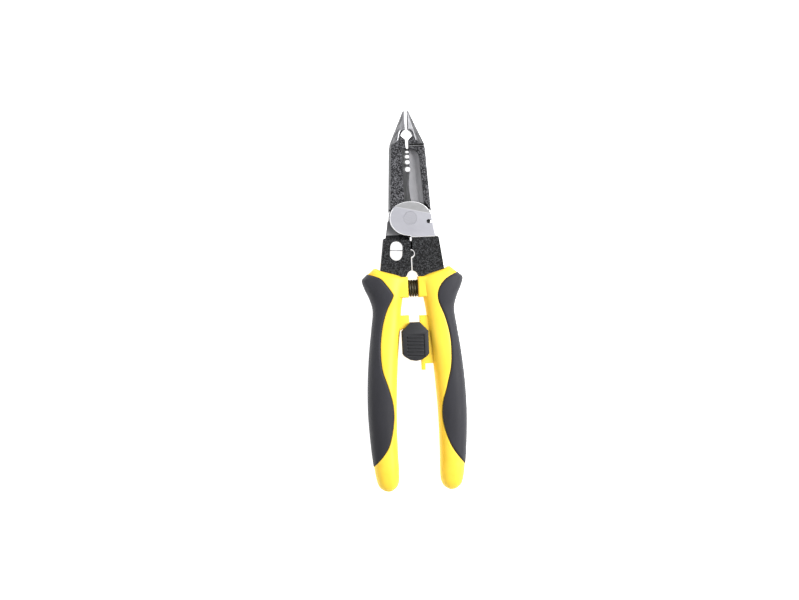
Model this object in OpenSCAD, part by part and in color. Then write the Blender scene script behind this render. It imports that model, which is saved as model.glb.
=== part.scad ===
// Long-nose wire stripper with a rivet pivot, sprung handles and a slide lock.
// +Y runs along the tool towards the nose, +X to the right and +Z up from the
// rear face to the front face. The origin is the pivot's centre on the rear boss face.
// The tool stands a little open: the jaws still have jaw_gap_angle to close.

/* [Pivot] */
// Half the thickness over the two ground boss faces
boss_h = 6.3; // [6.0:0.1:6.8]
// Radius of the rivet's shank
rivet_r = 3.2; // [2.8:0.1:3.4]
// Radius of the rivet's flush heads
rivet_head_r = 4.0; // [3.8:0.1:4.4]
// Thickness of each rivet head
rivet_head_t = 1.2; // [0.8:0.1:1.6]
// Running clearance round the rivet
rivet_play = 0.05; // [0.02:0.01:0.1]
// Half the gap between the two lapped faces
lap = 0.05; // [0.03:0.01:0.08]

/* [Jaws] */
// Half the thickness of the black forging
forging_h = 5.2; // [4.8:0.1:5.5]
// Half the thickness of the ground nose at its root
nose_h = 5.8; // [5.4:0.1:6.2]
// Half the thickness of the nose at its tip
nose_tip_h = 1.7; // [1.4:0.1:2.4]
// Distance of the nose tip from the pivot
nose_tip_y = 64.4; // [64:0.1:65]
// Angle that the jaws still have to close
jaw_gap_angle = 1.2; // [1:0.05:1.3]
// Depth of the gripping serrations
serration_d = 0.25; // [0.1:0.05:0.35]

/* [Strip holes] */
// Radius of the smallest strip hole
strip_r_1 = 0.72; // [0.6:0.01:0.8]
// Radius of the second strip hole
strip_r_2 = 1.08; // [0.9:0.01:1.15]
// Radius of the third strip hole
strip_r_3 = 1.25; // [1.1:0.01:1.3]
// Radius of the largest strip hole
strip_r_4 = 1.45; // [1.3:0.01:1.5]

/* [Shank] */
// Half the gap along the seam between the shanks
seam_half = 0.5; // [0.45:0.01:0.55]
// Radius of the bump on the seam
bump_r = 2.0; // [1.6:0.1:2.1]
// Half the width of the cable slot
slot_r = 3.8; // [3.4:0.1:3.9]
// Half the height of the cable slot
slot_half = 5.8; // [5.4:0.1:5.9]
// Thickness of the splitting blade
blade_t = 0.5; // [0.4:0.05:0.6]

/* [Handles] */
// Thickness of the soft grip
grip_t = 2.0; // [1.6:0.1:2.4]
// Height of the grip above the hard handle
grip_proud = 0.35; // [0.2:0.05:0.4]
// Half the thickness of the tang inside a handle
tang_h = 2.4; // [2:0.1:2.8]
// Extra angle at which the left handle stands
left_lean = 0.5; // [0.4:0.05:0.6]

/* [Spring] */
// Outer radius of the return spring
spring_r = 5.2; // [5:0.05:5.25]
// Diameter of the spring wire
wire_d = 1.4; // [1.2:0.05:1.5]
// Number of turns
spring_turns = 11; // [9:1:11]
// Height of the spring's axis along the tool
spring_y = -41.9; // [-42:0.1:-41.8]

/* [Lock] */
// Half the thickness of the tab and the bracket
bracket_h = 3.9; // [3.6:0.1:4]
// Gap between the bracket and the lock plates
lock_gap = 0.3; // [0.25:0.01:0.35]
// Thickness of each lock plate
lock_plate_t = 3.2; // [2.8:0.1:3.4]
// Radius of the lock pins
lock_pin_r = 1.2; // [1:0.05:1.25]
// Clearance of the lock pins in their slot
lock_pin_play = 0.08; // [0.05:0.01:0.1]
// Travel of the lock down the bracket
lock_travel = 5.4; // [5:0.1:5.5]

/* [Hidden] */
$fn = 48;

forging_colour = "#2e2e32";
ground_colour = "#c6c6cc";
yellow = "#ffe23c";
slate = "#3c3c44";
spring_colour = "#1c1c1e";
far = 60;

// Jaw outline stations along the tool
throat = [1.2, 10.4];
blade_top_y = 41.8;
slot_foot_y = 42.8;
slot_top_y = 46.9;
crimp_top_y = 53.2;
slot_edge_x = 1.0;
// Thickness of the blade's edge, and where its bevel starts on the front face
blade_edge_t = 0.5;
bevel_x = -3.2;
strip_y = [39.9, 37.1, 33.8, 29.5];
strip_r = [strip_r_1, strip_r_2, strip_r_3, strip_r_4];
// How far each strip hole's centre stands outside the blade's line
strip_x = [0.3, 0.22, 0.15, 0.1];
// Straight part of each strip hole, and how far its cone widens
strip_land = 0.6;
strip_flare = 1.7;
serration_y = 55;
serration_pitch = 0.75;
serrations = 12;
nose_root_y = 45;
// Foot, turn and slope of the ridge along the outside of the nose
ridge_foot = [-6.1, 46];
ridge_turn = -15;
ridge_slope = -36;
shoulder = [10.15, 44.9];
cheek = [10.75, 41];
hip = [12.1, 14.6];
waist = [12.6, 5.6];
// The lap's inner parts turn inside disc_r, and the other jaw's shoulders keep outside it
disc_r = 12.65;
shoulder_r = 12.95;
disc_a = 12.35;
disc_top = 10.1;
disc_bottom = 10.65;
disc_power = 0.92;
bump = [-0.55, -21.1];
cable_slot = [-9.0, -19.2];
cable_slot_tilt = -5;
// Length and height of the splitting blade, and its own tilt
splitter = [2 * slot_r + 2.4, 5];
splitter_rise = 0.3;
splitter_tilt = -3;
shear_r = 1.25;
shear_at = [10.9, -2.3];
shear_turn = 16;
shear_half = 0.85;
// Lower end of the boss, and the groove that frees the other forging's land
land_y = -11.6;
relief = [-12.7, -9.9];
relief_h = 1.2;
// Ledge behind the seam, which closes its upper stretch, and the room for it in the other shank
ledge_z = -3;
ledge = [[-0.9, -18.4], [1.1, -13.4]];
ledge_room = [[-1.6, -18.8], [1.4, -12.8]];
ledge_play = 0.3;
bump_gap = 0.85;
// Spring seats
seat_end_x = 9.2;
seat_mouth_x = 3.0;
seat_back_x = 11.6;
seat_end_y = [-47.4, -35];
seat_h = 6.8;
seat_r = spring_r + 0.25;
// Lock stations
lock_pin_x = 5.5;
lock_pin_y = [-69.5, -76.2];
lock_in_z = bracket_h + lock_gap;
lock_out_z = lock_in_z + lock_plate_t;
lock_rib_y = [-71.5, -75, -78.4, -81.6];
lock_rib = [9.2, 0.9];
lock_rib_foot = 1;
lock_pin_cover = 1;
slot_end_play = 0.1;
bracket_outline = [[3.15, -58.3], [10.5, -58.3], [13, -87.2], [5.4, -87.2], [5.4, -91], [3.15, -91]];
tab_outline = [[-11, -57.9], [-3.15, -57.9], [-3.15, -70.2], [-5.4, -70.2], [-5.4, -65.2],
               [-9.6, -67.4], [-12, -69]];

// Half the gap between the nose lips at a station along the tool
function lip_x(y) = y * tan(jaw_gap_angle / 2) + 0.05;

// A power of the size of t, with its sign
function bend(t, power) = sign(t) * pow(abs(t), power);

// Catmull-Rom curve through rows of numbers, with n steps between rows
function curve_point(a, b, c, d, t) =
    0.5 * (2 * b + (c - a) * t + (2 * a - 5 * b + 4 * c - d) * t * t
    + (3 * b - a - 3 * c + d) * t * t * t);
function curve(rows, n) = let (last = len(rows) - 1) [
    for (i = [0 : last - 1], k = [0 : n - 1])
        curve_point(rows[max(i - 1, 0)], rows[i], rows[i + 1], rows[min(i + 2, last)], k / n),
    rows[last]];

module block(corners) {
    translate(corners[0])
        square(corners[1] - corners[0]);
}

module slab(z0, z1) {
    translate([0, 0, z0])
        linear_extrude(z1 - z0)
            children();
}

// Everything is drawn about the mid-plane between the forgings, then lifted
module lifted() {
    translate([0, 0, boss_h])
        children();
}

module both_faces() {
    children();
    mirror([0, 0, 1])
        children();
}

// ---- Forgings: one shape, used twice, turned half a turn about the tool's axis ----

// Crimp hole and the slot under it, as the left jaw's share of them
module crimp_outline() {
    polygon([[5, crimp_top_y], [-1.0, crimp_top_y], [-2.6, 51.8], [-3.65, 49.6],
             [-slot_edge_x, slot_top_y], [-slot_edge_x, slot_foot_y], [5, slot_foot_y]]);
    translate([0, slot_foot_y])
        circle(r = slot_edge_x);
}

module front_jaw_outline() {
    difference() {
        polygon([[-lip_x(nose_tip_y), nose_tip_y], [-1.7, nose_tip_y], [-shoulder[0], shoulder[1]],
                 [-cheek[0], cheek[1]], [-hip[0], hip[1]], [-waist[0], waist[1]], [-9, 0],
                 [0.9, 0], throat, [0.8, 12.8], [0.35, 17.2], [0.3, 21], [0.7, 24.8], [1.15, 28],
                 [1.0, 41.2], [-lip_x(blade_top_y), blade_top_y],
                 [-lip_x(crimp_top_y), crimp_top_y]]);
        crimp_outline();
        for (i = [0 : 3])
            strip_notch(i);
    }
}

module rear_jaw_outline() {
    difference() {
        polygon([[-lip_x(nose_tip_y), nose_tip_y], [-1.7, nose_tip_y], [-shoulder[0], shoulder[1]],
                 [-cheek[0], cheek[1]], [-hip[0], hip[1]], [-waist[0], waist[1]],
                 [-waist[0], 4], [-8, 4], [-8.75, 9.9], [-8.3, 16.9], [-7.9, 23.1], [-7.5, 29.4],
                 [-7.3, 35.6], [-6.7, 38.4], [-5.3, 40.4], [-3.3, 41.4], [-slot_edge_x, 41.9],
                 [-slot_edge_x, slot_top_y],
                 [-lip_x(crimp_top_y), crimp_top_y]]);
        crimp_outline();
        circle(r = shoulder_r);
    }
}

module strip_notch(i) {
    r = strip_r[i];
    translate([-strip_x[i], strip_y[i]]) {
        circle(r = r);
        translate([0, -r])
            square([4, 2 * r]);
    }
}

// Ground part of the nose, which stands a little above the black forging
module nose_outline() {
    difference() {
        polygon([[-lip_x(nose_tip_y), nose_tip_y], [-1.7, nose_tip_y], [-shoulder[0], shoulder[1]],
                 [-9.5, 44.4], [-8.2, 45.5], [-5.2, 46.5], [-4.4, 48.5], [-3.9, 51.6],
                 [-2.9, 52.9], [-lip_x(crimp_top_y), crimp_top_y + 0.2]]);
        crimp_outline();
    }
}

// Raised boss: the disc, its stop on the right and the ground land under it
module boss_outline() {
    polygon([for (a = [0 : 9 : 351]) [
        disc_a * bend(cos(a), disc_power),
        (a < 180 ? disc_top : disc_bottom) * bend(sin(a), disc_power)]]);
    intersection() {
        circle(r = disc_r, $fn = 96);
        polygon([[0, 0], [13, 6.2], [13, 0.4], [9, -3]]);
    }
    polygon([[0, 0], [12.6, 0.3], [12.9, -0.8], [13.5, -1.5], [13.85, -4.5], [15.1, land_y],
             [seam_half, land_y], [-0.6, -10.6]]);
}

module shank_outline(top_left, top_right) {
    polygon([[seam_half, top_left], [seam_half, -31.2], [1.9, -31.8], [2.9, -32.8],
             [3.5, -34.4], [5, -35.6], [19.6, -35.6], [19.1, -30.2], [18, -22], [16.7, -12],
             [16.2, -11.4], [15.1, top_right]]);
}

module tang_outline() {
    polygon([[10.4, -34], [17.5, -34], [19.3, -45], [17.2, -58], [18.5, -90], [20.2, -118],
             [18.8, -121], [17.3, -118], [14.8, -90], [12.6, -58], [10.4, -46]]);
}

// Wedge that thins the nose towards its tip, on the front face
module nose_taper() {
    rotate([90, 0, 90])
        slab(-far, far)
            polygon([[nose_root_y, nose_h], [nose_tip_y + 2, nose_tip_h - 0.42],
                     [nose_tip_y + 2, nose_h + 3], [nose_root_y, nose_h + 3]]);
}

// Sloping facet along the outside of the nose, on the front face
module nose_facet() {
    slope = -atan2(nose_h - nose_tip_h, nose_tip_y - nose_root_y);
    translate([ridge_foot[0], ridge_foot[1], nose_h - 0.2])
        rotate([slope, 0, ridge_turn])
            rotate([0, ridge_slope, 0])
                translate([-20, -0.8, 0])
                    cube([20, 40, 12]);
}

// Bevel that brings the shear blade to its edge at the mid-plane
module blade_bevel() {
    translate([0, blade_top_y + 0.2, 0])
        rotate([90, 0, 0])
            slab(0, blade_top_y + 0.2 - 8)
                polygon([[bevel_x, forging_h + 0.05], [0.7, blade_edge_t], [3, blade_edge_t], [3, 7],
                         [bevel_x, 7]]);
}

module strip_cone(i) {
    translate([-strip_x[i], strip_y[i], strip_land])
        cylinder(r1 = strip_r[i], r2 = strip_r[i] + strip_flare, h = forging_h);
}

module serration_row() {
    side = serration_d * sqrt(2);
    for (i = [0 : serrations - 1])
        let (y = serration_y + i * serration_pitch)
            translate([-lip_x(y), y, 0])
                rotate([0, 0, 45])
                    cube([side, side, 3 * boss_h], center = true);
}

module rivet_bore(play) {
    translate([0, 0, -1])
        cylinder(r = rivet_r + play, h = boss_h + 2);
    translate([0, 0, boss_h - rivet_head_t])
        cylinder(r = rivet_head_r + play, h = rivet_head_t + 1);
}

module forging(play) {
    difference() {
        union() {
            difference() {
                slab(lap, forging_h)
                    front_jaw_outline();
                blade_bevel();
                for (i = [0 : 3])
                    strip_cone(i);
            }
            slab(-forging_h, lap + 0.2)
                rear_jaw_outline();
            slab(-nose_h, nose_h)
                nose_outline();
            slab(lap, boss_h)
                boss_outline();
            slab(lap, forging_h)
                shank_outline(-11.4, -11.3);
            slab(-forging_h, lap + 0.2)
                shank_outline(-13.3, -12.3);
            slab(-tang_h, tang_h)
                tang_outline();
        }
        both_faces() {
            nose_taper();
            nose_facet();
        }
        serration_row();
        rivet_bore(play);
        // relief groove where the lapped face meets the shank
        slab(lap - relief_h, relief_h)
            block([[seam_half - 1, relief[0]], [far, relief[1]]]);
    }
}

// Carries the ledge behind the seam and the notch for the other shank's bump
module left_jaw_forging() {
    lifted()
        color(forging_colour)
            difference() {
                union() {
                    forging(0);
                    slab(-forging_h, ledge_z)
                        block(ledge);
                }
                slab(-far, far)
                    translate(bump)
                        circle(r = bump_r + bump_gap);
                slab(lap - 1, far)
                    shear_notch();
            }
}

module shear_notch() {
    translate(shear_at) {
        circle(r = shear_r);
        translate([0, -shear_half])
            square([5, 2 * shear_half]);
    }
}

module right_jaw_forging() {
    lifted()
        color(forging_colour)
            difference() {
                union() {
                    rotate([0, 180, 0])
                        forging(rivet_play);
                    slab(-forging_h, forging_h)
                        bump_outline();
                }
                slab(-far, far)
                    cable_slot_outline();
                splitter_shape();
                slab(-far, ledge_z + ledge_play)
                    block(ledge_room);
                slab(-far, 0)
                    rotate([0, 0, shear_turn])
                        shear_notch();
            }
}

module bump_outline() {
    intersection() {
        translate(bump)
            circle(r = bump_r);
        translate([bump[0] - 0.5, bump[1] - bump_r])
            square([bump_r + 1, 2 * bump_r]);
    }
}

module cable_slot_outline() {
    run = slot_half - slot_r;
    translate(cable_slot)
        rotate(cable_slot_tilt) {
            for (s = [-1, 1])
                translate([0, s * run])
                    circle(r = slot_r);
            square([2 * slot_r, 2 * run], center = true);
        }
}

module splitter_shape() {
    translate([cable_slot[0], cable_slot[1] + splitter_rise, 0])
        rotate([0, 0, splitter_tilt])
            cube([splitter[0], blade_t, splitter[1]], center = true);
}

module splitter_blade() {
    lifted()
        color(ground_colour)
            splitter_shape();
}

module pivot_rivet() {
    lifted()
        color(ground_colour) {
            cylinder(r = rivet_r, h = 2 * boss_h, center = true);
            both_faces()
                translate([0, 0, boss_h - rivet_head_t])
                    cylinder(r = rivet_head_r, h = rivet_head_t);
        }
}

// ---- Handles ----

// Rows along the right handle: station, inner edge, outer edge, half thickness
handle_rows = [[-29.6, 21, 22.9, 4], [-31, 17.8, 24.4, 6.2], [-34, 7, 27.9, 7.6],
               [-36.6, 3.9, 29.9, 8.3], [-42, 4.9, 28.3, 9], [-47.5, 6, 25.8, 9],
               [-55, 7.1, 24, 8.2], [-66, 8.15, 25.2, 8.3], [-80, 9.7, 27, 9.1],
               [-98, 10.9, 28.5, 9.6], [-117, 11.8, 28.9, 9.8], [-137, 11.9, 27.8, 9.4],
               [-150, 11.6, 26.4, 8.7], [-157, 11.8, 25.2, 7.7], [-160.6, 13.2, 23.7, 6.3],
               [-162.7, 15.6, 21.1, 4.3], [-163.3, 17.1, 19.3, 2.8]];
ring_sides = 20;
ring_power = 0.78;

// Grip outlines on the right and on the left handle, from the top of the grip down
right_grip_edge = [[26.7, -33.3], [21.2, -35.9], [17.3, -39.2], [14.6, -44], [14.5, -50], [18.4, -60.6],
                   [20.8, -73], [20.5, -88], [17.2, -101], [14.2, -112], [14.3, -123.5], [18.4, -136.6],
                   [26.5, -148]];
left_grip_edge = [[27.2, -32.7], [19.7, -35.3], [15.9, -39.2], [12.1, -44.6], [11.8, -47], [15.9, -55],
                  [18.9, -65], [20.4, -77], [19.7, -90], [16.3, -101], [13.6, -112], [13.8, -123],
                  [17.7, -137], [27, -148.2]];
grip_end_y = [-33, -148];
grip_reach = 20;

function ring(row, grow) = let (x = (row[1] + row[2]) / 2, w = (row[2] - row[1]) / 2 + grow)
    [for (i = [0 : ring_sides - 1]) let (a = 360 * i / ring_sides)
        [x + w * bend(cos(a), ring_power), row[0], (row[3] + grow) * bend(sin(a), ring_power)]];

// Closed skin over the handle's rows, grown or shrunk by a small amount
module handle_skin(grow) {
    rows = curve(handle_rows, 2);
    last = len(rows) - 1;
    n = ring_sides;
    points = [for (row = rows) each ring(row, grow)];
    faces = [[for (i = [0 : n - 1]) i],
             for (k = [0 : last - 1], i = [0 : n - 1]) each let (j = (i + 1) % n)
                 [[k * n + i, (k + 1) * n + i, (k + 1) * n + j],
                  [k * n + i, (k + 1) * n + j, k * n + j]],
             [for (i = [n - 1 : -1 : 0]) last * n + i]];
    polyhedron(points, faces, convexity = 4);
}

module grip_zone(edge) {
    slab(-far, far)
        polygon(concat(curve(edge, 2), [[edge[len(edge) - 1][0] + grip_reach, grip_end_y[1]],
                                        [edge[0][0] + grip_reach, grip_end_y[0]]]));
}

module grip(edge) {
    difference() {
        intersection() {
            handle_skin(grip_proud);
            grip_zone(edge);
        }
        handle_skin(-grip_t);
    }
}

// Hard handle with a rebate for the grip
module handle(edge) {
    difference() {
        handle_skin(0);
        difference() {
            grip_zone(edge);
            handle_skin(-grip_t);
        }
    }
}

// Seat for the return spring, on the handle's inner side
module seat_block() {
    slab(-seat_h, seat_h)
        block([[seat_mouth_x, seat_end_y[0]], [seat_back_x, seat_end_y[1]]]);
}

// Everything that a handle is moulded round
module handle_core() {
    slab(-forging_h, forging_h)
        shank_outline(-20, -20);
    slab(-tang_h, tang_h)
        tang_outline();
}

module spring_socket() {
    translate([0, spring_y, 0])
        rotate([0, 90, 0])
            cylinder(r = seat_r, h = seat_end_x);
}

module lock_slot_outline() {
    r = lock_pin_r + lock_pin_play;
    top = lock_pin_y[0] + slot_end_play;
    bottom = lock_pin_y[1] - lock_travel - slot_end_play;
    for (y = [top, bottom])
        translate([lock_pin_x, y])
            circle(r = r);
    translate([lock_pin_x - r, bottom])
        square([2 * r, top - bottom]);
}

module right_handle() {
    lifted()
        color(yellow)
            difference() {
                union() {
                    handle(right_grip_edge);
                    seat_block();
                    slab(-bracket_h, bracket_h)
                        polygon(bracket_outline);
                }
                handle_core();
                spring_socket();
                slab(-far, far)
                    lock_slot_outline();
            }
}

module left_handle() {
    lifted()
        color(yellow)
            difference() {
                union() {
                    rotate([0, 0, -left_lean])
                        mirror([1, 0, 0])
                            handle(left_grip_edge);
                    mirror([1, 0, 0])
                        seat_block();
                    slab(-bracket_h, bracket_h)
                        polygon(tab_outline);
                }
                mirror([1, 0, 0]) {
                    handle_core();
                    spring_socket();
                }
            }
}

module right_grip() {
    lifted()
        color(slate)
            grip(right_grip_edge);
}

module left_grip() {
    lifted()
        color(slate)
            rotate([0, 0, -left_lean])
                mirror([1, 0, 0])
                    grip(left_grip_edge);
}

// ---- Return spring ----

module return_spring() {
    sides = 6;
    steps = 14;
    coil_r = spring_r - wire_d / 2;
    run = 2 * (seat_end_x - 0.1) - wire_d;
    last = spring_turns * steps;
    points = [for (k = [0 : last], i = [0 : sides - 1])
        let (t = 360 * k / steps, a = 360 * i / sides, r = coil_r + wire_d / 2 * cos(a))
            [run * (k / last - 0.5) + wire_d / 2 * sin(a), spring_y + r * cos(t), r * sin(t)]];
    faces = [[for (i = [0 : sides - 1]) i],
             for (k = [0 : last - 1], i = [0 : sides - 1]) each let (j = (i + 1) % sides)
                 [[k * sides + i, (k + 1) * sides + i, (k + 1) * sides + j],
                  [k * sides + i, (k + 1) * sides + j, k * sides + j]],
             [for (i = [sides - 1 : -1 : 0]) last * sides + i]];
    lifted()
        color(spring_colour)
            polyhedron(points, faces, convexity = 10);
}

// ---- Slide lock ----

module lock_outline() {
    polygon([[-2.9, -62.3], [2.9, -62.3], [4.6, -64], [7.9, -67.6], [7.8, -81.3], [6, -83.2],
             [3.5, -84.8], [0, -85.4], [-3.5, -84.8], [-6, -83.2], [-7.8, -81.3], [-7.9, -67.6],
             [-4.6, -64]]);
}

module lock_plate() {
    difference() {
        union() {
            slab(lock_in_z, lock_out_z - 0.4)
                lock_outline();
            for (y = lock_rib_y)
                translate([0, y, lock_in_z + lock_rib_foot])
                    slab(0, lock_plate_t - lock_rib_foot)
                        square(lock_rib, center = true);
        }
        for (y = lock_pin_y)
            translate([lock_pin_x, y, 0])
                cylinder(r = lock_pin_r, h = lock_out_z - lock_pin_cover);
    }
}

module lock_front_plate() {
    lifted()
        color(slate)
            lock_plate();
}

module lock_rear_plate() {
    lifted()
        color(slate)
            mirror([0, 0, 1])
                lock_plate();
}

module lock_catch() {
    lifted()
        color(slate)
            slab(-lock_in_z, lock_in_z)
                polygon([[-7.4, -70.6], [-5.7, -70.6], [-5.7, -72.6], [2.7, -72.6], [2.7, -83],
                         [-6.4, -83], [-7.4, -82]]);
}

module lock_pins() {
    lifted()
        color(ground_colour)
            for (y = lock_pin_y)
                translate([lock_pin_x, y, 0])
                    cylinder(r = lock_pin_r, h = 2 * (lock_out_z - lock_pin_cover), center = true);
}

left_jaw_forging();
right_jaw_forging();
pivot_rivet();
splitter_blade();
right_handle();
left_handle();
right_grip();
left_grip();
return_spring();
lock_front_plate();
lock_rear_plate();
lock_catch();
lock_pins();
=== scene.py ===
"""Looks of the long-nose wire stripper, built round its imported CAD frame.

Shapes are drawn in millimetres about the mid-plane between the two forgings, +Y towards
the nose and +X to the right, and are scaled and lifted into the frame when a piece is made.
"""

import bisect
import math

import bmesh
import bpy
from mathutils import Euler, Matrix, Vector


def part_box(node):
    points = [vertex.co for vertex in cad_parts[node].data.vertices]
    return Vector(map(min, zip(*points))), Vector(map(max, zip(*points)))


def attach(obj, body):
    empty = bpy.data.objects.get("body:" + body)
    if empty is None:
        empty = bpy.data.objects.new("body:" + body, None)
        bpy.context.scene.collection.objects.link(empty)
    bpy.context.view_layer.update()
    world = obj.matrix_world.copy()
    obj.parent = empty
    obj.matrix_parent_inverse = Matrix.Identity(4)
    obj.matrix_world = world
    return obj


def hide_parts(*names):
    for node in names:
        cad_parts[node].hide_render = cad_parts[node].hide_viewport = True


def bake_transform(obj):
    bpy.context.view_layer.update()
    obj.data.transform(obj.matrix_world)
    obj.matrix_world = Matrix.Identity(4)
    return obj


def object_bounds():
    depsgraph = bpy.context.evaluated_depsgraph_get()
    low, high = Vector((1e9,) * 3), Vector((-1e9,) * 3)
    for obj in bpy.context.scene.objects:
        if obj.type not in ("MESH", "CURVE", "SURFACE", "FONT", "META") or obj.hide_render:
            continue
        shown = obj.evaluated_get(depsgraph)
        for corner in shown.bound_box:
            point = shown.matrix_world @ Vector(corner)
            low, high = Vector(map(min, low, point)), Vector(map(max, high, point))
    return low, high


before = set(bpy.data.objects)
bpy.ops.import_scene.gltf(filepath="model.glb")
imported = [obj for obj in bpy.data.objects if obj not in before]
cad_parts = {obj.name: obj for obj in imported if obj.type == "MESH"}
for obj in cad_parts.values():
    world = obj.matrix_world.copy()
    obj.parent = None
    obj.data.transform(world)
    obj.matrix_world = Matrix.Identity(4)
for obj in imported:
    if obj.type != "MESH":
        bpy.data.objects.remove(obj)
cad_low, cad_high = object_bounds()

MM = 0.001
rivet_low, rivet_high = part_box("pivot_rivet")
MID_Z = (rivet_low.z + rivet_high.z) / 2
INTO_FRAME = Matrix.Translation((0, 0, MID_Z)) @ Matrix.Scale(MM, 4)
OUT_OF_FRAME = INTO_FRAME.inverted()
FLIP = Matrix.Rotation(math.pi, 4, "Y")
MIRROR = Matrix.Scale(-1, 4, (1, 0, 0))
TO_BACK = Matrix.Scale(-1, 4, (0, 0, 1))

# Sizes taken over from the CAD source; only GRIP_PROUD is a little less than there
BOSS_H = 6.3
BOSS_RX = 12.35
BOSS_RY = 10.65
FORGING_H = 5.2
LAP = 0.05
NOSE_ROOT_Y = 45
LEFT_LEAN = math.radians(-0.5)
GRIP_T = 2.0
GRIP_PROUD = 0.32
SPRING_Y = -41.9
SPRING_R = 5.2
WIRE_D = 1.4
SPRING_TURNS = 11
SEAT_MOUTH_X = 3.0
SEAT_END_X = 9.2
SEAT_R = 5.45
BRACKET_H = 3.9
LOCK_IN_Z = 4.2
LOCK_PLATE_T = 3.2
HANDLE_ROWS = [
    [-29.6, 21, 22.9, 4], [-31, 17.8, 24.4, 6.2], [-34, 7, 27.9, 7.6], [-36.6, 3.9, 29.9, 8.3],
    [-42, 4.9, 28.3, 9], [-47.5, 6, 25.8, 9], [-55, 7.1, 24, 8.2], [-66, 8.15, 25.2, 8.3],
    [-80, 9.7, 27, 9.1], [-98, 10.9, 28.5, 9.6], [-117, 11.8, 28.9, 9.8],
    [-137, 11.9, 27.8, 9.4], [-150, 11.6, 26.4, 8.7], [-157, 11.8, 25.2, 7.7],
    [-160.6, 13.2, 23.7, 6.3], [-162.7, 15.6, 21.1, 4.3], [-163.3, 17.1, 19.3, 2.8],
]
RIGHT_GRIP_EDGE = [
    [26.7, -33.3], [21.2, -35.9], [17.3, -39.2], [14.6, -44], [14.5, -50], [18.4, -60.6],
    [20.8, -73], [20.5, -88], [17.2, -101], [14.2, -112], [14.3, -123.5], [18.4, -136.6],
    [26.5, -148],
]
LEFT_GRIP_EDGE = [
    [27.2, -32.7], [19.7, -35.3], [15.9, -39.2], [12.1, -44.6], [11.8, -47], [15.9, -55],
    [18.9, -65], [20.4, -77], [19.7, -90], [16.3, -101], [13.6, -112], [13.8, -123],
    [17.7, -137], [27, -148.2],
]
RING_POWER = 0.78

# Line across the boss face, beyond which the face is tilted a little
FACET_LINE = [(-9, 7.2), (12, 2.3)]
# Shallow steps across the rear of both jaws, as spans along the tool. The right jaw is turned
# over, so its steps are at the front, where the black coat also has spans of painted shade
# on the steps' floors and a painted highlight on the edge between them.
STEPS = [(43.3, 44.4), (42.45, 42.75)]
STEP_IN_X = 1.1
STEP_OUT_X = 10
STEP_DEPTH = 0.4
# Spans along Y and their colours: painted shade on the steps' dark floors and a painted highlight on
# the bright edge between them
STEP_PAINTED_LIGHT = [
    ((43.4, 44.4), (0.002, 0.002, 0.002)),
    ((42.4, 42.85), (0.002, 0.002, 0.002)),
    ((43.0, 43.3), (0.3, 0.3, 0.31)),
]

# Distances within which corners are welded, doubles merged and slivers dropped
WELD = 0.004
MERGE = 0.002
SLIVER = 0.001
# Reach of a cutter past the jaws' sides, front and back
FAR = 30


# ---- Mesh helpers ----

def new_mesh(bm):
    mesh = bpy.data.meshes.new("work")
    bm.to_mesh(mesh)
    bm.free()
    return mesh


def mesh_of(points, faces):
    """Closed mesh from points in millimetres, with doubles merged and normals outward."""
    bm = bmesh.new()
    corners = [bm.verts.new(p) for p in points]
    for face in faces:
        bm.faces.new([corners[i] for i in face])
    bmesh.ops.remove_doubles(bm, verts=bm.verts, dist=WELD)
    bmesh.ops.dissolve_degenerate(bm, dist=SLIVER, edges=bm.edges)
    bmesh.ops.recalc_face_normals(bm, faces=bm.faces)
    return new_mesh(bm)


def boolean(mesh, tool, operation):
    """mesh joined with, cut by or kept within tool."""
    pair = [bpy.data.objects.new("work", m) for m in (mesh, tool)]
    for o in pair:
        bpy.context.scene.collection.objects.link(o)
    step = pair[0].modifiers.new("boolean", "BOOLEAN")
    step.solver = "EXACT"
    step.operation = operation
    step.object = pair[1]
    depsgraph = bpy.context.evaluated_depsgraph_get()
    made = bpy.data.meshes.new_from_object(pair[0].evaluated_get(depsgraph))
    for o in pair:
        bpy.data.objects.remove(o)
    return made


def inset(outline, d):
    """Closed outline moved inward by d; the outline runs anticlockwise."""
    sharpest = 0.3
    out = []
    n = len(outline)
    for i, here in enumerate(outline):
        before, after = Vector(outline[i - 1]), Vector(outline[(i + 1) % n])
        here = Vector(here)
        one = (here - before).normalized()
        two = (after - here).normalized()
        a, b = Vector((-one.y, one.x)), Vector((-two.y, two.x))
        out.append(here + (a + b) * (d / max(sharpest, 1 + a.dot(b))))
    return out


def skin_faces(rows, n, caps=True):
    """Faces between closed rings of n points, with a fan to one more point at each end."""
    faces = []
    for k in range(rows - 1):
        for i in range(n):
            j = (i + 1) % n
            faces.append([k * n + i, k * n + j, (k + 1) * n + j, (k + 1) * n + i])
    if caps:
        first, last = rows * n, rows * n + 1
        for i in range(n):
            j = (i + 1) % n
            faces.append([first, j, i])
            faces.append([last, (rows - 1) * n + i, (rows - 1) * n + j])
    return faces


def rectangle(x0, y0, x1, y1):
    return [(x0, y0), (x1, y0), (x1, y1), (x0, y1)]


def prism(outline, z0, z1, edge=0.3, steps=2):
    """Plate with an outline and edges rounded by edge."""
    n = len(outline)
    turn = [math.pi / 2 * k / steps for k in range(steps + 1)]
    rings = [(z0 + edge * (1 - math.sin(t)), edge * (1 - math.cos(t))) for t in reversed(turn)]
    rings += [(z1 - edge * (1 - math.sin(t)), edge * (1 - math.cos(t))) for t in turn]
    rings.sort()
    points = [(p[0], p[1], z) for z, d in rings for p in inset(outline, d)]
    last = (len(rings) - 1) * n
    faces = skin_faces(len(rings), n, caps=False)
    faces += [list(range(n))[::-1], [last + i for i in range(n)]]
    return mesh_of(points, faces)


def arc(centre, r, start, end, steps):
    """Points on an arc in degrees, both ends included."""
    turn = [math.radians(start + (end - start) * k / steps) for k in range(steps + 1)]
    return [(centre[0] + r * math.cos(t), centre[1] + r * math.sin(t)) for t in turn]


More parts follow.
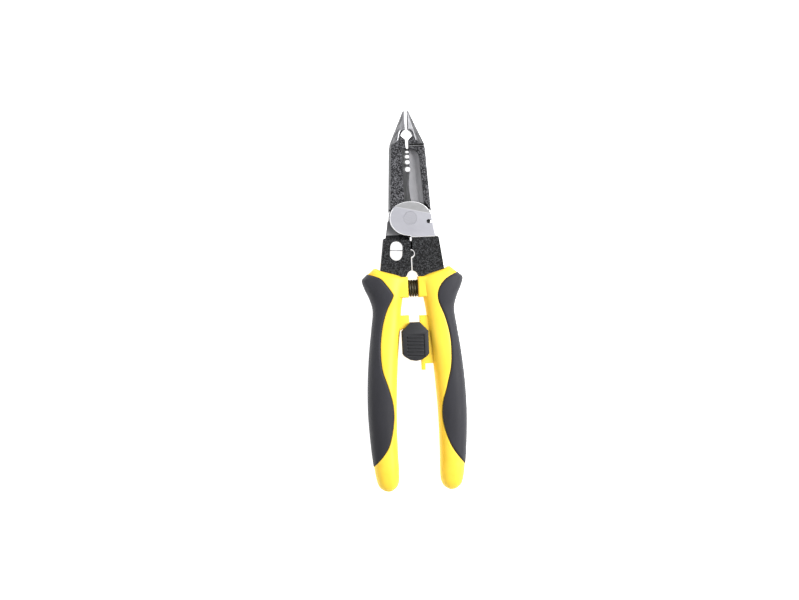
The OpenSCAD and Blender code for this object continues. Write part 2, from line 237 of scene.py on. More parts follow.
def lathe(profile, sides=64):
    """Closed solid turned about the Z axis from a profile of radius and height."""
    points = []
    for r, z in profile:
        for i in range(sides):
            t = 2 * math.pi * i / sides
            points.append((r * math.cos(t), r * math.sin(t), z))
    points += [(0, 0, profile[0][1]), (0, 0, profile[-1][1])]
    return mesh_of(points, skin_faces(len(profile), sides))


def moved(mesh, matrix):
    """The mesh itself, moved, with its faces still outward after a mirroring."""
    mesh.transform(matrix)
    if matrix.determinant() < 0:
        mesh.flip_normals()
    return mesh


def rod(r, x0, x1, y, edge):
    """Round rod or bore along the X axis."""
    profile = [(r - edge, x0), (r, x0 + edge), (r, x1 - edge), (r - edge, x1)]
    turn = Matrix.Rotation(math.pi / 2, 4, "Y")
    return moved(lathe(profile), Matrix.Translation((0, y, 0)) @ turn)


def smooth(mesh, angle, broad):
    """Smooth shading, broken at edges sharper than angle and between two broad faces.

    angle is in degrees and broad is an area in square millimetres.
    """
    bm = bmesh.new()
    bm.from_mesh(mesh)
    for face in bm.faces:
        face.smooth = True
    limit = math.radians(angle)
    for edge in bm.edges:
        flat = broad and min(f.calc_area() for f in edge.link_faces) > broad
        edge.smooth = len(edge.link_faces) == 2 and not flat and edge.calc_face_angle(0) < limit
    bm.to_mesh(mesh)
    bm.free()


def piece(name, mesh, body, nodes, materials, angle=35, broad=None):
    """Finished piece in the frame, riding on its body and standing for its CAD nodes."""
    smooth(mesh, angle, broad)
    mesh.transform(INTO_FRAME)
    mesh.name = name
    painted = [p.material_index for p in mesh.polygons]
    mesh.materials.clear()
    for m in materials:
        mesh.materials.append(m)
    mesh.polygons.foreach_set("material_index", painted)
    obj = bpy.data.objects.new(name, mesh)
    bpy.context.scene.collection.objects.link(obj)
    if body:
        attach(obj, body)
    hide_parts(*nodes)
    return obj


# ---- Materials ----

# Places of the colour sockets of a Mix node
MIX_SHARE, MIX_ONE, MIX_TWO, MIX_MADE = 0, 6, 7, 2


class Paint:
    """A material and short calls for the nodes in it. Coordinates are the frame's, in metres."""

    def __init__(self, name, **values):
        self.material = bpy.data.materials.new(name)
        self.material.use_nodes = True
        self.tree = self.material.node_tree
        self.shader = self.tree.nodes["Principled BSDF"]
        for socket, value in values.items():
            self.shader.inputs[socket.replace("_", " ")].default_value = value
        self.place = self.tree.nodes.new("ShaderNodeTexCoord").outputs["Object"]

    def node(self, kind, links=(), **settings):
        made = self.tree.nodes.new("ShaderNode" + kind)
        for key, value in settings.items():
            setattr(made, key, value)
        for socket, source in dict(links).items():
            if isinstance(source, bpy.types.NodeSocket):
                self.tree.links.new(source, made.inputs[socket])
            else:
                made.inputs[socket].default_value = source
        return made

    def stretched(self, size, turn=0.0):
        """Coordinates measured in grains of a size in millimetres along X, Y and Z."""
        mapping = self.node("Mapping", {"Vector": self.place})
        mapping.vector_type = "TEXTURE"
        mapping.inputs["Scale"].default_value = [s * MM for s in size]
        mapping.inputs["Rotation"].default_value = (0, 0, math.radians(turn))
        return mapping.outputs[0]

    def noise(self, size, detail, rough, turn=0.0):
        where = self.stretched(size, turn)
        links = {"Vector": where, "Scale": 1.0, "Detail": detail, "Roughness": rough}
        return self.node("TexNoise", links).outputs[0]

    def spots(self, size):
        links = {"Vector": self.stretched(size), "Scale": 1.0}
        return self.node("TexVoronoi", links).outputs["Distance"]

    def spread(self, value, low, high, to_low, to_high):
        """value taken from one range to another, and held at its ends."""
        links = {"Value": value, "From Min": low, "From Max": high}
        links.update({"To Min": to_low, "To Max": to_high})
        return self.node("MapRange", links).outputs[0]

    def math(self, operation, a, b=0.0):
        return self.node("Math", {0: a, 1: b}, operation=operation).outputs[0]

    def colours(self, share, one, two):
        """Mix of two colours, each given as three numbers or as a node's output."""
        made = self.node("Mix", data_type="RGBA")
        for index, source in ((MIX_SHARE, share), (MIX_ONE, one), (MIX_TWO, two)):
            if isinstance(source, bpy.types.NodeSocket):
                self.tree.links.new(source, made.inputs[index])
            else:
                made.inputs[index].default_value = (*source, 1)
        return made.outputs[MIX_MADE]

    def axis(self, name):
        return self.node("SeparateXYZ", {0: self.place}).outputs[name]

    def side_of(self, a, b, soft):
        """0 to 1 across the line from a to b in millimetres: 1 on its left, over a soft width."""
        way = Vector((b[0] - a[0], b[1] - a[1])).normalized()
        x = self.math("MULTIPLY", self.axis("X"), -way.y)
        y = self.math("MULTIPLY", self.axis("Y"), way.x)
        offset = (a[0] * way.y - a[1] * way.x) * MM
        distance = self.math("ADD", self.math("ADD", x, y), offset)
        return self.spread(distance, -soft * MM / 2, soft * MM / 2, 0, 1)

    def step(self, span, start):
        """1 within a span along Y and to the right of start, in millimetres, and 0 elsewhere."""
        soft = 0.12 * MM
        above = self.spread(self.axis("Y"), span[0] * MM - soft, span[0] * MM + soft, 0, 1)
        below = self.spread(self.axis("Y"), span[1] * MM - soft, span[1] * MM + soft, 1, 0)
        right = self.spread(self.axis("X"), start * MM - soft, start * MM + soft, 0, 1)
        return self.math("MULTIPLY", self.math("MULTIPLY", above, below), right)

    def use(self, colour, roughness=None, height=None, depth=0.1, strength=1.0):
        self.tree.links.new(colour, self.shader.inputs["Base Color"])
        if roughness is not None:
            self.tree.links.new(roughness, self.shader.inputs["Roughness"])
        if height is not None:
            links = {"Height": height, "Distance": depth * MM, "Strength": strength}
            self.tree.links.new(self.node("Bump", links).outputs[0], self.shader.inputs["Normal"])
        return self.material


def black_coat():
    """Black coat with lighter grains, which are brighter on the jaws than on the shanks."""
    p = Paint("black_coat", Metallic=0.2, Specular_IOR_Level=0.22)
    grain = p.noise((0.62, 0.62, 0.62), 4, 0.6)
    fine = p.noise((0.25, 0.25, 0.25), 3, 0.6)
    pits = p.spread(p.spots((0.9, 0.9, 0.9)), 0.1, 0.8, 0, 1)
    share = p.spread(grain, 0.47, 0.6, 0, 1)
    jaws = p.spread(p.axis("Y"), -11 * MM, 11 * MM, 0, 1)
    dark = p.colours(jaws, (0.001, 0.001, 0.0012), (0.003, 0.003, 0.004))
    light = p.colours(jaws, (0.05, 0.052, 0.055), (0.14, 0.14, 0.15))
    colour = p.colours(share, dark, light)
    # Painted shade on the steps' floors and a painted highlight on the edge between them
    for span, painted_light in STEP_PAINTED_LIGHT:
        colour = p.colours(p.step(span, STEP_IN_X), colour, painted_light)
    rough = p.spread(grain, 0.3, 0.7, 0.6, 0.42)
    height = p.math("ADD", p.math("MULTIPLY", grain, 0.6), p.math("MULTIPLY", fine, 0.25))
    height = p.math("ADD", height, p.math("MULTIPLY", pits, 0.25))
    return p.use(colour, rough, height, 0.25, 0.8)


def worn_edge():
    p = Paint("worn_edge", Metallic=0.6)
    grain = p.noise((0.9, 0.9, 0.9), 4, 0.6)
    colour = p.colours(p.spread(grain, 0.42, 0.6, 0, 1), (0.02, 0.02, 0.022), (0.09, 0.09, 0.095))
    return p.use(colour, p.spread(grain, 0.3, 0.7, 0.5, 0.35), grain, 0.05, 0.5)


def ground_boss():
    """Ground face with painted shade beyond the facet line, where the face is tilted, and
    painted highlights along that line and on the rim at its lower left.
    """
    p = Paint("ground_boss", Metallic=1.0)
    marks = p.noise((0.12, 6, 1), 3, 0.6, 68)
    cloud = p.noise((5, 5, 5), 3, 0.5)
    # Painted shade: the tilted part beyond the facet line is darker
    upper = p.side_of(*FACET_LINE, 0.5)
    # Painted highlight along the facet line
    facet_highlight = p.math("MULTIPLY", p.math("MULTIPLY", upper, p.math("SUBTRACT", 1.0, upper)), 2.4)
    base = p.colours(upper, (0.56, 0.56, 0.605), (0.4, 0.4, 0.4))
    base = p.colours(facet_highlight, base, (0.85, 0.85, 0.88))
    streak = p.colours(p.spread(marks, 0.35, 0.7, 0, 0.25), base, (0.36, 0.36, 0.38))
    colour = p.colours(p.spread(cloud, 0.35, 0.7, 0, 0.25), streak, (0.64, 0.64, 0.68))
    x, y = p.axis("X"), p.axis("Y")
    out_x = p.math("POWER", p.math("MULTIPLY", x, 1 / (BOSS_RX * MM)), 2)
    out_y = p.math("POWER", p.math("MULTIPLY", y, 1 / (BOSS_RY * MM)), 2)
    # Painted highlight on the rim at the lower left of the boss face
    rim_highlight = p.spread(p.math("ADD", out_x, out_y), 0.89, 0.93, 0, 1)
    lower_left = p.math("MULTIPLY", p.spread(p.math("ADD", x, y), -6 * MM, -3 * MM, 1, 0),
                        p.spread(x, -0.5 * MM, 0.5 * MM, 1, 0))
    colour = p.colours(p.math("MULTIPLY", rim_highlight, lower_left), colour, (0.95, 0.95, 0.97))
    return p.use(colour, p.spread(marks, 0.3, 0.7, 0.34, 0.5), marks, 0.02, 0.3)


def pocket_steel():
    """Ground face between the forgings, darker round the pivot, with painted light towards the
    pocket's wall and painted shade where the face shows through the shear notch.
    """
    p = Paint("pocket_steel", Metallic=0.75)
    marks = p.noise((0.15, 4, 1), 3, 0.6, 8)
    cloud = p.noise((3, 6, 3), 3, 0.5)
    base = p.colours(p.spread(cloud, 0.35, 0.65, 0, 1), (0.36, 0.358, 0.375), (0.41, 0.406, 0.42))
    # Painted light: lighter towards the pocket's wall, where the key light casts the wall's shadow
    base = p.colours(p.spread(p.axis("X"), 3.5 * MM, 7.5 * MM, 0, 0.85), base, (0.8, 0.8, 0.82))
    low = p.spread(p.axis("Y"), -9.5 * MM, -4.5 * MM, 1, 0)
    lapped = p.colours(low, (0.26, 0.26, 0.27), (0.4, 0.4, 0.41))
    # Painted shade: near black past X of 7 to 9 mm, where the face shows through the shear notch
    lapped = p.colours(p.spread(p.axis("X"), 7 * MM, 9 * MM, 0, 1), lapped, (0.01, 0.01, 0.011))
    base = p.colours(p.spread(p.axis("Y"), 8.5 * MM, 9.5 * MM, 0, 1), lapped, base)
    colour = p.colours(p.spread(marks, 0.4, 0.7, 0, 0.3), base, (0.24, 0.24, 0.25))
    return p.use(colour, p.spread(marks, 0.3, 0.7, 0.38, 0.55), marks, 0.02, 0.3)


# Ground steel of the blade bevels, painted darker than the other ground steel as painted shade
def painted_shade_blade_steel():
    p = Paint("painted_shade_blade_steel", Metallic=1.0)
    marks = p.noise((5, 0.13, 1), 3, 0.6, 4)
    cloud = p.noise((2, 5, 3), 3, 0.5)
    base = p.colours(p.spread(cloud, 0.35, 0.65, 0, 1), (0.16, 0.163, 0.16), (0.23, 0.232, 0.235))
    colour = p.colours(p.spread(marks, 0.4, 0.7, 0, 0.5), base, (0.22, 0.22, 0.23))
    return p.use(colour, p.spread(marks, 0.3, 0.7, 0.36, 0.5), marks, 0.02, 0.35)


def ground_nose(name, dark, light, turn, metal=1.0, lip=0.0):
    """Ground steel with streaks that run along a facet of the nose, darker up to X = lip."""
    p = Paint(name, Metallic=metal)
    marks = p.noise((0.35, 9, 0.8), 4, 0.6, turn)
    fine = p.noise((0.1, 1.4, 0.3), 3, 0.6, turn)
    base = p.colours(p.spread(marks, 0.38, 0.62, 0, 1), dark, light)
    if lip:
        near = p.spread(p.axis("X"), (lip - 0.1) * MM, (lip + 0.1) * MM, 1, 0)
        base = p.colours(near, base, grey(0.2))
    return p.use(base, p.spread(marks, 0.3, 0.7, 0.28, 0.44), fine, 0.02, 0.3)


def dark_steel():
    p = Paint("dark_steel", Metallic=1.0)
    marks = p.noise((0.4, 0.4, 0.4), 4, 0.6)
    colour = p.colours(p.spread(marks, 0.35, 0.65, 0, 1), (0.05, 0.05, 0.055), (0.13, 0.13, 0.14))
    return p.use(colour, p.spread(marks, 0.3, 0.7, 0.35, 0.5), marks, 0.02, 0.3)


def rivet_steel():
    p = Paint("rivet_steel", Metallic=1.0)
    marks = p.noise((0.12, 6, 1), 3, 0.6, 68)
    colour = p.colours(p.spread(marks, 0.35, 0.7, 0, 1), (0.6, 0.6, 0.65), (0.5, 0.5, 0.53))
    return p.use(colour, p.spread(marks, 0.3, 0.7, 0.32, 0.46), marks, 0.02, 0.35)


def yellow_nylon():
    p = Paint("yellow_nylon", Specular_IOR_Level=0.35)
    grain = p.noise((0.35, 0.35, 0.35), 3, 0.6)
    cloud = p.noise((9, 9, 9), 3, 0.5)
    base = p.colours(p.spread(cloud, 0.3, 0.7, 0, 1), (0.93, 0.62, 0.045), (0.97, 0.66, 0.055))
    colour = p.colours(p.spread(grain, 0.35, 0.7, 0, 0.25), base, (0.86, 0.55, 0.035))
    return p.use(colour, p.spread(cloud, 0.3, 0.7, 0.42, 0.54), grain, 0.03, 0.35)


def soft_grip():
    """Dark soft plastic, with painted shade towards the lower end of the left grip."""
    p = Paint("soft_grip", Specular_IOR_Level=0.3, Sheen_Weight=0.12, Sheen_Roughness=0.5)
    grain = p.noise((0.22, 0.22, 0.22), 3, 0.65)
    cloud = p.noise((6, 14, 6), 3, 0.5)
    # Painted shade: darker towards the lower end of the left grip, as the light comes from the right
    low = p.spread(p.axis("Y"), -130 * MM, -90 * MM, 1, 0)
    left = p.math("MULTIPLY", low, p.spread(p.axis("X"), -5 * MM, 5 * MM, 0.4, 0))
    base = p.colours(p.spread(cloud, 0.3, 0.7, 0, 1), (0.017, 0.017, 0.0215), (0.024, 0.024, 0.03))
    colour = p.colours(p.spread(grain, 0.4, 0.7, 0, 0.4), base, (0.034, 0.034, 0.041))
    colour = p.colours(left, colour, (0.006, 0.006, 0.008))
    return p.use(colour, p.spread(cloud, 0.3, 0.7, 0.6, 0.72), grain, 0.05, 0.5)


def lock_plastic():
    p = Paint("lock_plastic", Specular_IOR_Level=0.4)
    grain = p.noise((0.3, 0.3, 0.3), 3, 0.6)
    base = p.colours(p.spread(grain, 0.35, 0.7, 0, 1), (0.012, 0.0125, 0.0145), (0.02, 0.0205, 0.024))
    return p.use(base, p.spread(grain, 0.3, 0.7, 0.48, 0.6), grain, 0.03, 0.4)


def spring_black():
    p = Paint("spring_black", Metallic=0.4)
    grain = p.noise((0.5, 0.5, 0.5), 3, 0.6)
    colour = p.colours(p.spread(grain, 0.4, 0.65, 0, 1), (0.028, 0.024, 0.012), (0.075, 0.066, 0.036))
    return p.use(colour, p.spread(grain, 0.3, 0.7, 0.34, 0.5), grain, 0.03, 0.3)


def floor_white():
    p = Paint("floor_white", Roughness=0.8, Specular_IOR_Level=0.2, Emission_Strength=0.95,
              Emission_Color=(1, 1, 1, 1))
    cloud = p.noise((60, 60, 60), 2, 0.5)
    return p.use(p.colours(cloud, (0.78, 0.78, 0.78), (0.82, 0.82, 0.82)))


def grey(level, blue=1.03):
    return (level, level, level * blue)


# Each finish's place in a forging's list of materials
BLACK, EDGE, BOSS, RIM_HIGHLIGHT, POCKET, BLADE, DARK, SIDE, NOSE_OUT, NOSE_IN, NOSE_BAND = range(11)
FORGING_PAINTS = [
    black_coat(), worn_edge(), ground_boss(),
    # Near-white paint for the boss face's rounding: a painted highlight
    ground_nose("ground_rim_painted_highlight", grey(0.9), grey(1.0, 1.0), 0, 0.1),
    pocket_steel(), painted_shade_blade_steel(), dark_steel(),
]
# The nose's facets are lit and shaded copies of one ground steel: each is painted as bright as the
# light it reflects, dark on the outer facets and bright on the inner ones, with near-white bands as
# painted highlights
LEFT_NOSE = [
    ground_nose("left_side", grey(0.13), grey(0.24), 3),
    ground_nose("left_nose_outer", grey(0.1), grey(0.42), -23.6),
    ground_nose("left_nose_inner", grey(0.32), grey(0.56), -12),
    ground_nose("left_nose_band", grey(0.8), grey(1.0), -10),
]
RIGHT_NOSE = [
    FORGING_PAINTS[0],
    ground_nose("right_nose_outer", grey(0.09), grey(0.26), 23.6),
    ground_nose("right_nose_inner", grey(0.75), grey(1.0), 12, 1.0, 1.25),
    ground_nose("right_nose_band", grey(0.85), grey(1.0), 10),
]


# ---- Forgings ----

NOSE_SLOPE = (5.8 - 1.7) / (64.4 - NOSE_ROOT_Y)
# Edge of the black land round the crimp hole, from the jaw's outside to its lip
LAND_EDGE = [
    (-9.2, 44.5), (-8.2, 45.3), (-6.5, 46.0), (-5.3, 46.6), (-4.8, 48.3), (-4.35, 50.1),
    (-4.0, 51.6), (-3.2, 52.7), (-2.0, 53.2), (0.5, 53.4),
]
LAND_RIM = [(3, 53.4), (3, 42), (-9.2, 42)]
LAND_START_Y = 45.6
LAND_BAND = 0.7
LAND_RISE = 0.52
# Foot of the ridge between the nose's facets, and how its outer facet turns and leans
RIDGE_FOOT = (-6.1, 46, 5.6)
FACET_TURN = math.radians(-15)
FACET_LEAN = math.radians(-36)
FACET_LOW_Y = 44.85
PAST_NOSE_Y = 80
# Outer edge of the jaw from the shoulder to the waist
OUTER_EDGE = [(-10.15, 44.9), (-10.75, 41), (-12.1, 14.6), (-12.6, 5.6)]
CHAMFER = 1.0
CHAMFER_DROP = 0.7
BOSS_TILT = math.tan(math.radians(1.5))
TANG_TOP_Y = -31
ABOVE_ALL_Z = 12
FLAT_ANGLE = math.radians(0.8)
# Roundings of the forging's edges: size, finish, whether on the boss face, and steps
# The boss face's rounding takes the near-white rim paint, a painted highlight
EDGE_ROUNDINGS = [(0.45, RIM_HIGHLIGHT, True, 1), (0.22, EDGE, False, 2)]


def land_cutter():
    """Cutter for the black land: a floor just under the nose's slope, and slanted sides."""
    floor = [Vector(p) for p in LAND_EDGE + LAND_RIM]
    wide = inset(list(reversed(floor)), -LAND_BAND)
    wide = list(reversed(wide))

    def height(y):
        return FORGING_H - (y - LAND_START_Y) * NOSE_SLOPE

    rings = [
        [(p.x, p.y, height(p.y)) for p in floor],
        [(q.x, q.y, height(p.y) + LAND_RISE) for p, q in zip(floor, wide)],
        [(q.x, q.y, ABOVE_ALL_Z) for q in wide],
    ]
    n = len(floor)
    faces = skin_faces(3, n, caps=False) + [list(range(n)), [2 * n + i for i in range(n)]]
    return mesh_of([p for ring in rings for p in ring], faces)


def edge_cutter():
    """Cutter for the chamfer along the jaw's outer edge."""
    reach, nudge = 3, 0.01
    top, foot = FORGING_H + reach, FORGING_H - reach
    points = []
    for x, y in OUTER_EDGE:
        points += [(x + CHAMFER, y, FORGING_H + nudge), (x + CHAMFER, y, top),
                   (x - reach, y, top), (x - reach, y, foot),
                   (x - nudge, y, FORGING_H - CHAMFER * CHAMFER_DROP)]
    n = len(points) // len(OUTER_EDGE)
    faces = skin_faces(len(OUTER_EDGE), n, caps=False)
    faces += [list(range(n)), [(len(OUTER_EDGE) - 1) * n + i for i in range(n)]]
    return mesh_of(points, faces)


def own_mesh(node, flip):
    """The CAD node's shape in millimetres in the forging's own coordinates, triangles merged."""
    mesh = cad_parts[node].data.copy()
    mesh.transform(OUT_OF_FRAME)
    if flip:
        mesh.transform(FLIP)
    bm = bmesh.new()
    bm.from_mesh(mesh)
    bmesh.ops.remove_doubles(bm, verts=bm.verts, dist=MERGE)
    merge_flat(bm)
    return new_mesh(bm)


def merge_flat(bm):
    """Joins the triangles of each flat or nearly flat face."""
    bmesh.ops.dissolve_limit(
        bm, angle_limit=FLAT_ANGLE, verts=bm.verts, edges=bm.edges,
        use_dissolve_boundaries=False,
    )


def root_cutter():
    """Cutter that carries the nose's outer facet down to the black jaw."""
    box = prism(rectangle(-20, -4, 0, 5), 0, ABOVE_ALL_Z, 0.01)
    place = Matrix.Translation(RIDGE_FOOT) @ Matrix.Rotation(FACET_TURN, 4, "Z")
    place = place @ Matrix.Rotation(-math.atan(NOSE_SLOPE), 4, "X")
    place = place @ Matrix.Rotation(FACET_LEAN, 4, "Y")
    nose = prism(rectangle(-FAR, FACET_LOW_Y, FAR, PAST_NOSE_Y), -FAR, FAR, 0.01)
    return boolean(moved(box, place), nose, "INTERSECT")


def step_cutter(low, high):
    """Cutter for a shallow step across the rear side of the jaw."""
    outline = rectangle(-STEP_OUT_X, low, -STEP_IN_X, high)
    return prism(outline, -FORGING_H - 2, STEP_DEPTH - FORGING_H, 0.05)


def on_land(x, y):
    """True on the black land round the crimp hole, seen along Z."""
    for (x0, y0), (x1, y1) in zip(LAND_EDGE, LAND_EDGE[1:]):
        if y0 <= y <= y1:
            return x > x0 + (x1 - x0) * (y - y0) / (y1 - y0) - 0.05
    return y < LAND_EDGE[0][1]


def nose_paint(x, y, across, up):
    """Which finish a face of the nose has; across and up are how far it faces right and out."""
    if on_land(x, y):
        if up > 0.93:
            return BLACK
    elif across < -0.25:
        return NOSE_OUT
    if up > 0.93:
        return NOSE_IN
    return NOSE_BAND if up > 0.3 else DARK


def forging_paint(face):
    """Which finish a face of the forging has, by where it lies and faces."""
    c, n = face.calc_center_median(), face.normal
    up = n.z * math.copysign(1, c.z)
    if c.y > 44.3:
        return nose_paint(c.x, c.y, n.x, up)
    boss_face = c.z > FORGING_H + 0.05 and c.y < 20
    lapped_face = abs(c.z - LAP) < 0.03 and n.z < -0.9
    blade_bevel = 0.2 < n.x < 0.95 and n.z > 0.2 and 6 < c.y < 43
    strip_holes = -4 < c.x < 4 and 24 < c.y < 54 and abs(n.z) < 0.95
    chamfer = c.x < -9 and c.y > 4 and up > 0.4 and n.x < -0.4
    for found, paint in ((boss_face, BOSS), (lapped_face, POCKET), (blade_bevel, BLADE),
                         (strip_holes, DARK), (chamfer, SIDE)):
        if found:
            return paint
    return BLACK


def tilt_facet(bm):
    """Tilts the part of the boss face beyond the facet line, so that it catches another light."""
    (x0, y0), (x1, y1) = FACET_LINE
    across_line = Vector((y0 - y1, x1 - x0, 0)).normalized()
    top = [f for f in bm.faces if f.material_index == BOSS and f.normal.z > 0.99]
    # A dictionary keeps the order that a set would lose
    geometry = dict.fromkeys(top)
    for face in top:
        geometry.update(dict.fromkeys([*face.edges, *face.verts]))
    bmesh.ops.bisect_plane(
        bm, geom=list(geometry), dist=SLIVER, plane_co=(x0, y0, 0), plane_no=across_line
    )
    for v in bm.verts:
        beyond = (v.co - Vector((x0, y0, 0))).dot(across_line)
        if v.co.z > BOSS_H - 0.01 and beyond > 0.01:
            v.co.z -= beyond * BOSS_TILT


def plain_edge(edge):
    """True for a convex edge with room for a rounding, away from small features."""
    if len(edge.link_faces) != 2 or not edge.is_convex:
        return False
    if not math.radians(28) < edge.calc_face_angle(0) < math.radians(150):
        return False
    if edge.calc_length() < 0.4:
        return False
    c = (edge.verts[0].co + edge.verts[1].co) / 2
    lip = abs(c.x) < 5 and c.y > 23
    bore = math.hypot(c.x, c.y) < 4.6
    notches = math.hypot(abs(c.x) - 10.9, c.y + 1) < 4 or (c.x < -7 and 2 < c.y < 12)
    side = any(f.material_index == SIDE for f in edge.link_faces)
    slot = math.hypot(c.x - 9, c.y + 19.2) < 7.5
    seam = c.x < 3.5 and -25 < c.y < -11
    return c.y < 44 and c.y > TANG_TOP_Y and not (lip or bore or notches or slot or seam or side)


def round_edges(bm):
    for offset, paint, boss, steps in EDGE_ROUNDINGS:
        chosen = []
        for edge in bm.edges:
            on_boss = any(f.material_index == BOSS and f.normal.z > 0.9 for f in edge.link_faces)
            if on_boss == boss and plain_edge(edge):
                chosen.append(edge)
        bmesh.ops.bevel(
            bm, geom=chosen, offset=offset, offset_type="OFFSET", segments=steps, profile=0.5,
            affect="EDGES", clamp_overlap=False, material=paint, loop_slide=True,
        )


def settle_order(bm):
    """Sorts the faces by their corners, because a bevel leaves them in a chance order."""
    bm.verts.index_update()
    by_corners = sorted(bm.faces, key=lambda face: sorted(v.index for v in face.verts))
    rank = {face: k for k, face in enumerate(by_corners)}
    bm.faces.sort(key=lambda face: rank[face])


def forging(name, node, body, flip, nose):
    """One forging, cut and painted in its own coordinates; flip turns it over."""
    mesh = own_mesh(node, flip)
    cutters = []
    for make in (land_cutter, edge_cutter, root_cutter):
        cutters += [make(), moved(make(), TO_BACK)]
    cutters += [step_cutter(low, high) for low, high in STEPS]
    for cutter in cutters:
        mesh = boolean(mesh, cutter, "DIFFERENCE")
    bm = bmesh.new()
    bm.from_mesh(mesh)
    bmesh.ops.remove_doubles(bm, verts=bm.verts, dist=MERGE)
    merge_flat(bm)
    for face in bm.faces:
        face.material_index = forging_paint(face)
    tilt_facet(bm)
    round_edges(bm)
    settle_order(bm)
    mesh = new_mesh(bm)
    if flip:
        mesh.transform(FLIP)
    return piece(name, mesh, body, [node], FORGING_PAINTS + nose, 20, 2.5)


# ---- Handles and grips ----

THINNEST = 0.3


def catmull(a, b, c, d, t):
    """Point a share t of the way from b to c on a Catmull-Rom curve."""
    return [
        0.5 * (2 * q + (r - p) * t + (2 * p - 5 * q + 4 * r - s) * t**2
               + (3 * q - p - 3 * r + s) * t**3)
        for p, q, r, s in zip(a, b, c, d)
    ]


def curve(rows, count):
    """Smooth curve through rows; count(i) steps after row i."""
    last = len(rows) - 1
    out = []
    for i in range(last):
        near = [rows[max(i - 1, 0)], rows[i], rows[i + 1], rows[min(i + 2, last)]]
        steps = count(i)
        out += [catmull(*near, k / steps) for k in range(steps)]
    return out + [rows[last]]


def dense_rows():
    """The handle's rows with more between them, closest together near its two ends."""
    def count(i):
        gap = HANDLE_ROWS[i][0] - HANDLE_ROWS[i + 1][0]
        near_end = i < 4 or i > 12
        return max(3, round(gap / (0.35 if near_end else 0.9)))
    return curve(HANDLE_ROWS, count)


def bend(t):
    """Sine or cosine changed so that the ring is a superellipse, a little squarer than round."""
    return math.copysign(abs(t) ** RING_POWER, t)


def ring_point(row, a, grow):
    """Point at angle a on the row's ring, moved out by grow."""
    y, inner, outer, half = row
    w = max(THINNEST, (outer - inner) / 2 + grow)
    h = max(THINNEST, half + grow)
    return ((inner + outer) / 2 + w * bend(math.cos(a)), y, h * bend(math.sin(a)))


class Ring:
    """One station of a handle: its half ring from the outside to the inside, by arc length."""

    STEPS = 90
    FADE = 1.6
    MOST_SLANT = 3.0

    def __init__(self, row, edge):
        self.row = row
        self.angles = [math.pi * k / self.STEPS for k in range(self.STEPS + 1)]
        points = [Vector(ring_point(row, a, 0)) for a in self.angles]
        self.lengths = [0.0]
        for p, q in zip(points, points[1:]):
            self.lengths.append(self.lengths[-1] + (q - p).length)
        self.total = self.lengths[-1]
        self.split, self.stretch = self.boundary(edge)
        self.fade = min(1.0, self.split / self.FADE)

    def boundary(self, edge):
        """Arc length at which the grip ends, and how slantwise its edge runs there."""
        y, inner, outer, _ = self.row
        for (x0, y0), (x1, y1) in zip(edge, edge[1:]):
            if y1 <= y <= y0:
                x = x0 + (x1 - x0) * (y - y0) / (y1 - y0)
                q = (x - (inner + outer) / 2) * 2 / (outer - inner)
                if q >= 1:
                    return 0.0, 1.0
                a = math.acos(math.copysign(abs(q) ** (1 / RING_POWER), q))
                slant = math.hypot(x1 - x0, y1 - y0) / abs(y1 - y0)
                return self.length_at(a), min(slant, self.MOST_SLANT)
        return 0.0, 1.0

    def length_at(self, a):
        k = min(int(a / math.pi * self.STEPS), self.STEPS - 1)
        share = a / math.pi * self.STEPS - k
        return self.lengths[k] + (self.lengths[k + 1] - self.lengths[k]) * share

    def angle_at(self, s):
        s = min(max(s, 0.0), self.total)
        k = min(max(bisect.bisect_right(self.lengths, s) - 1, 0), self.STEPS - 1)
        span = self.lengths[k + 1] - self.lengths[k]
        return self.angles[k] + (self.angles[k + 1] - self.angles[k]) * (s - self.lengths[k]) / span

    def at(self, s, grow):
        return ring_point(self.row, self.angle_at(s), grow)


def both_sides(half):
    """A closed run of points: the front half and then its mirror image behind."""
    return half + [(x, y, -z) for x, y, z in reversed(half)]


# Rolled edges beside the line between handle and grip, as distances from it and heights
YELLOW_ROLL = [(0.0, -0.7), (0.03, -0.35), (0.12, -0.1), (0.35, 0.0)]
GRIP_ROLL = [
    (0.03, -0.7), (0.1, -0.55), (0.3, -0.3), (0.55, 0.05), (0.95, 0.26), (1.4, GRIP_PROUD),
]
YELLOW_COLUMNS = 22
GRIP_COLUMNS = 16
UNDER_COLUMNS = 8
UNDER_GAP = 0.05


def handle_ring(ring):
    """Yellow handle: floor under the grip, wall at its edge and skin outside it."""
    columns = range(UNDER_COLUMNS + 1)
    half = [ring.at(ring.split * k / UNDER_COLUMNS, -GRIP_T * ring.fade) for k in columns]
    limit = (ring.total - ring.split) / 3
    for reach, height in YELLOW_ROLL:
        half.append(ring.at(ring.split + min(reach * ring.stretch, limit), height * ring.fade))
    start = ring.split + min(YELLOW_ROLL[-1][0] * ring.stretch, limit)
    for k in range(1, YELLOW_COLUMNS):
        half.append(ring.at(start + (ring.total - start) * k / YELLOW_COLUMNS, 0))
    half.append(ring.at(ring.total, 0))
    return both_sides(half)


def grip_ring(ring):
    """Soft grip: a shell over the outer part of the ring."""
    limit = ring.split * 0.6
    roll = [(min(reach * ring.stretch, limit), height) for reach, height in GRIP_ROLL]
    start = ring.split - roll[-1][0]
    half = [ring.at(start * k / GRIP_COLUMNS, GRIP_PROUD * ring.fade) for k in range(GRIP_COLUMNS)]
    half += [ring.at(ring.split - d, h * ring.fade) for d, h in reversed(roll)]
    under = (UNDER_GAP - GRIP_T) * ring.fade
    end = ring.split - roll[0][0]
    half += [ring.at(end * k / UNDER_COLUMNS, under) for k in range(UNDER_COLUMNS, 0, -1)]
    return both_sides(half)


def centre_of(ring):
    total = sum((Vector(p) for p in ring), Vector())
    return tuple(total / len(ring))


